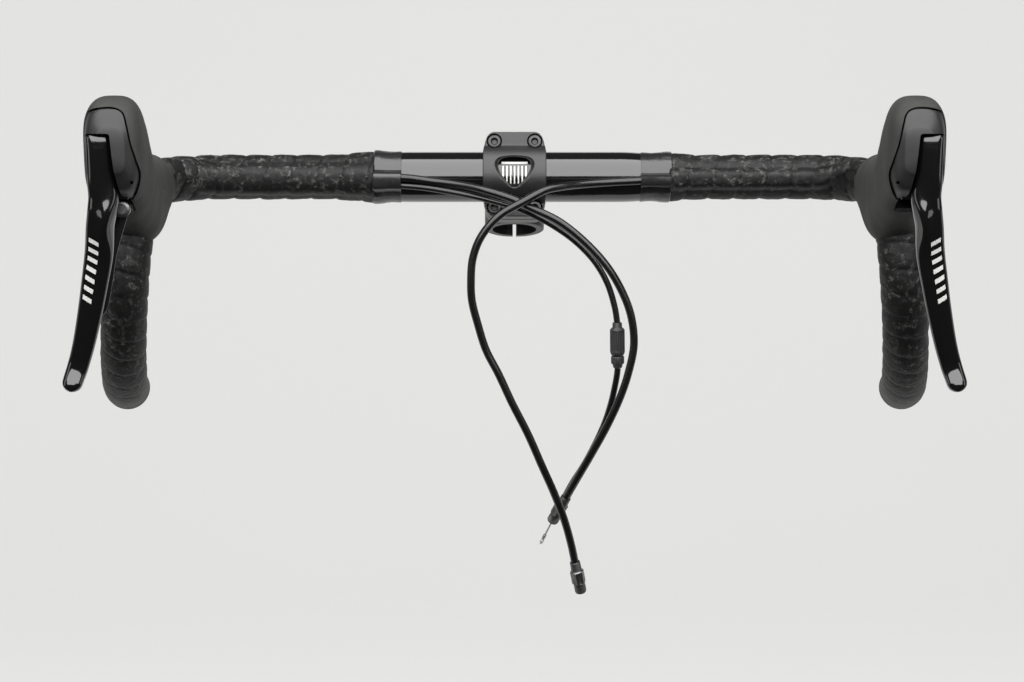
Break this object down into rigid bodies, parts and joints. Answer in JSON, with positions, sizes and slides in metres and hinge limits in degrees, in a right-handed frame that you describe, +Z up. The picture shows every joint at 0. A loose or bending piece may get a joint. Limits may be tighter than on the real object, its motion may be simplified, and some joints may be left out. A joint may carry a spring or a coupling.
{
  "type": "drop handlebar",
  "caption": "Bicycle drop handlebar with stem, marbled tape, hydraulic brake levers, one shift paddle and their hoses.",
  "frame": {"origin": "on the steerer axis at the lower face of the stem's steerer clamp", "axes": "+Z up as on the bicycle, -Y forward, +X to the rider's left; the steerer axis leans back 18.5 degrees from +Z towards +Y"},
  "size_m": [0.5304, 0.287, 0.3192],
  "materials": {
    "bar_gloss": "gloss black paint",
    "bar_tape": "embossed foam tape, black with grey marbling",
    "finishing_tape": "stretched vinyl tape, semi gloss",
    "stem_black": "fine satin black anodised",
    "bolt_black": "black oxide",
    "hood_rubber": "matt moulded rubber",
    "shell_plastic": "fine textured nylon",
    "blade_gloss": "gloss black paint over aluminium",
    "hose_black": "satin nylon jacket",
    "steel": "ground steel",
    "nylon": "glass filled nylon",
    "alloy": "machined",
    "bladder": "thin rubber"
  },
  "bodies": {
    "cockpit": {"handlebar": "bar_gloss", "bar_tape_top_left": "bar_tape", "bar_tape_top_right": "bar_tape", "bar_tape_drop_left": "bar_tape", "bar_tape_drop_right": "bar_tape", "finishing_tape_left": "finishing_tape", "finishing_tape_right": "finishing_tape", "bar_end_plug_left": "nylon", "bar_end_plug_right": "nylon", "stem_body": "stem_black", "stem_faceplate": "stem_black", "faceplate_bolt_1": "bolt_black", "faceplate_bolt_2": "bolt_black", "faceplate_bolt_3": "bolt_black", "faceplate_bolt_4": "bolt_black", "steerer_bolt_1": "bolt_black", "steerer_bolt_2": "bolt_black", "hood_rubber_left": "hood_rubber", "front_shell_left": "shell_plastic", "lever_bracket_left": "nylon", "clamp_band_left": "steel", "clamp_bolt_left": "bolt_black", "pivot_pin_left": "steel", "piston_spring_left": "steel", "reservoir_bladder_left": "bladder", "reservoir_cap_left": "alloy", "hose_nut_left": "alloy", "hood_rubber_right": "hood_rubber", "front_shell_right": "shell_plastic", "lever_bracket_right": "nylon", "clamp_band_right": "steel", "clamp_bolt_right": "bolt_black", "pivot_pin_right": "steel", "piston_spring_right": "steel", "reservoir_bladder_right": "bladder", "reservoir_cap_right": "alloy", "hose_nut_right": "alloy", "spool_axle": "steel", "shift_wire": "steel", "front_brake_hose": "hose_black", "rear_brake_hose": "hose_black", "shift_housing_upper": "hose_black", "shift_housing_lower": "hose_black", "adjuster_body": "nylon", "front_hose_coupling": "alloy", "rear_hose_coupling": "alloy", "shift_ferrule": "nylon", "shift_wire_end": "steel"},
    "brake_lever_left_body": {"brake_lever_left": "blade_gloss"},
    "brake_lever_right_body": {"brake_lever_right": "blade_gloss", "paddle_pin": "steel"},
    "master_piston_left_body": {"master_piston_left": "alloy", "pushrod_left": "steel"},
    "master_piston_right_body": {"master_piston_right": "alloy", "pushrod_right": "steel"},
    "shift_paddle_body": {"shift_paddle": "blade_gloss"},
    "cable_spool_body": {"cable_spool": "nylon"},
    "adjuster_barrel_body": {"adjuster_barrel": "nylon"}
  },
  "joints": [
    {"name": "brake_lever_left_pull", "type": "hinge", "parent": "cockpit", "child": "brake_lever_left_body", "pos_m": [0.229, -0.21352, 0.04145], "axis": [1, 0, 0], "range_deg": [0, 20], "stiffness_Nm_per_rad": 0.6, "springref_deg": -20.05},
    {"name": "master_piston_left_slide", "type": "slide", "parent": "cockpit", "child": "master_piston_left_body", "axis": [0, -0.5, 0.866], "range_m": [0, 0.0042], "deforming": ["piston_spring_left"]},
    {"name": "brake_lever_right_pull", "type": "hinge", "parent": "cockpit", "child": "brake_lever_right_body", "pos_m": [-0.229, -0.21352, 0.04145], "axis": [1, 0, 0], "range_deg": [0, 20], "stiffness_Nm_per_rad": 0.6, "springref_deg": -20.05},
    {"name": "master_piston_right_slide", "type": "slide", "parent": "cockpit", "child": "master_piston_right_body", "axis": [0, -0.5, 0.866], "range_m": [0, 0.0042], "deforming": ["piston_spring_right"]},
    {"name": "shift_paddle_swing", "type": "hinge", "parent": "brake_lever_right_body", "child": "shift_paddle_body", "pos_m": [-0.2268, -0.22252, 0.02645], "axis": [0, -1, 0], "range_deg": [0, 28], "stiffness_Nm_per_rad": 0.08, "springref_deg": -17.19},
    {"name": "cable_spool_turn", "type": "hinge", "parent": "cockpit", "child": "cable_spool_body", "pos_m": [-0.229, -0.18452, 0.04645], "axis": [1, 0, 0], "range_deg": [0, 34]},
    {"name": "adjuster_barrel_turn", "type": "hinge", "parent": "cockpit", "child": "adjuster_barrel_body", "pos_m": [0.0643, -0.11452, -0.07355], "axis": [0.0176, 0.0737, -0.9971], "continuous": true}
  ],
  "couplings": [
    {"joint": "master_piston_left_slide", "follows": "brake_lever_left_pull", "m_per_rad": 0.011},
    {"joint": "master_piston_right_slide", "follows": "brake_lever_right_pull", "m_per_rad": 0.011},
    {"joint": "cable_spool_turn", "follows": "shift_paddle_swing", "ratio": 1.2}
  ]
}
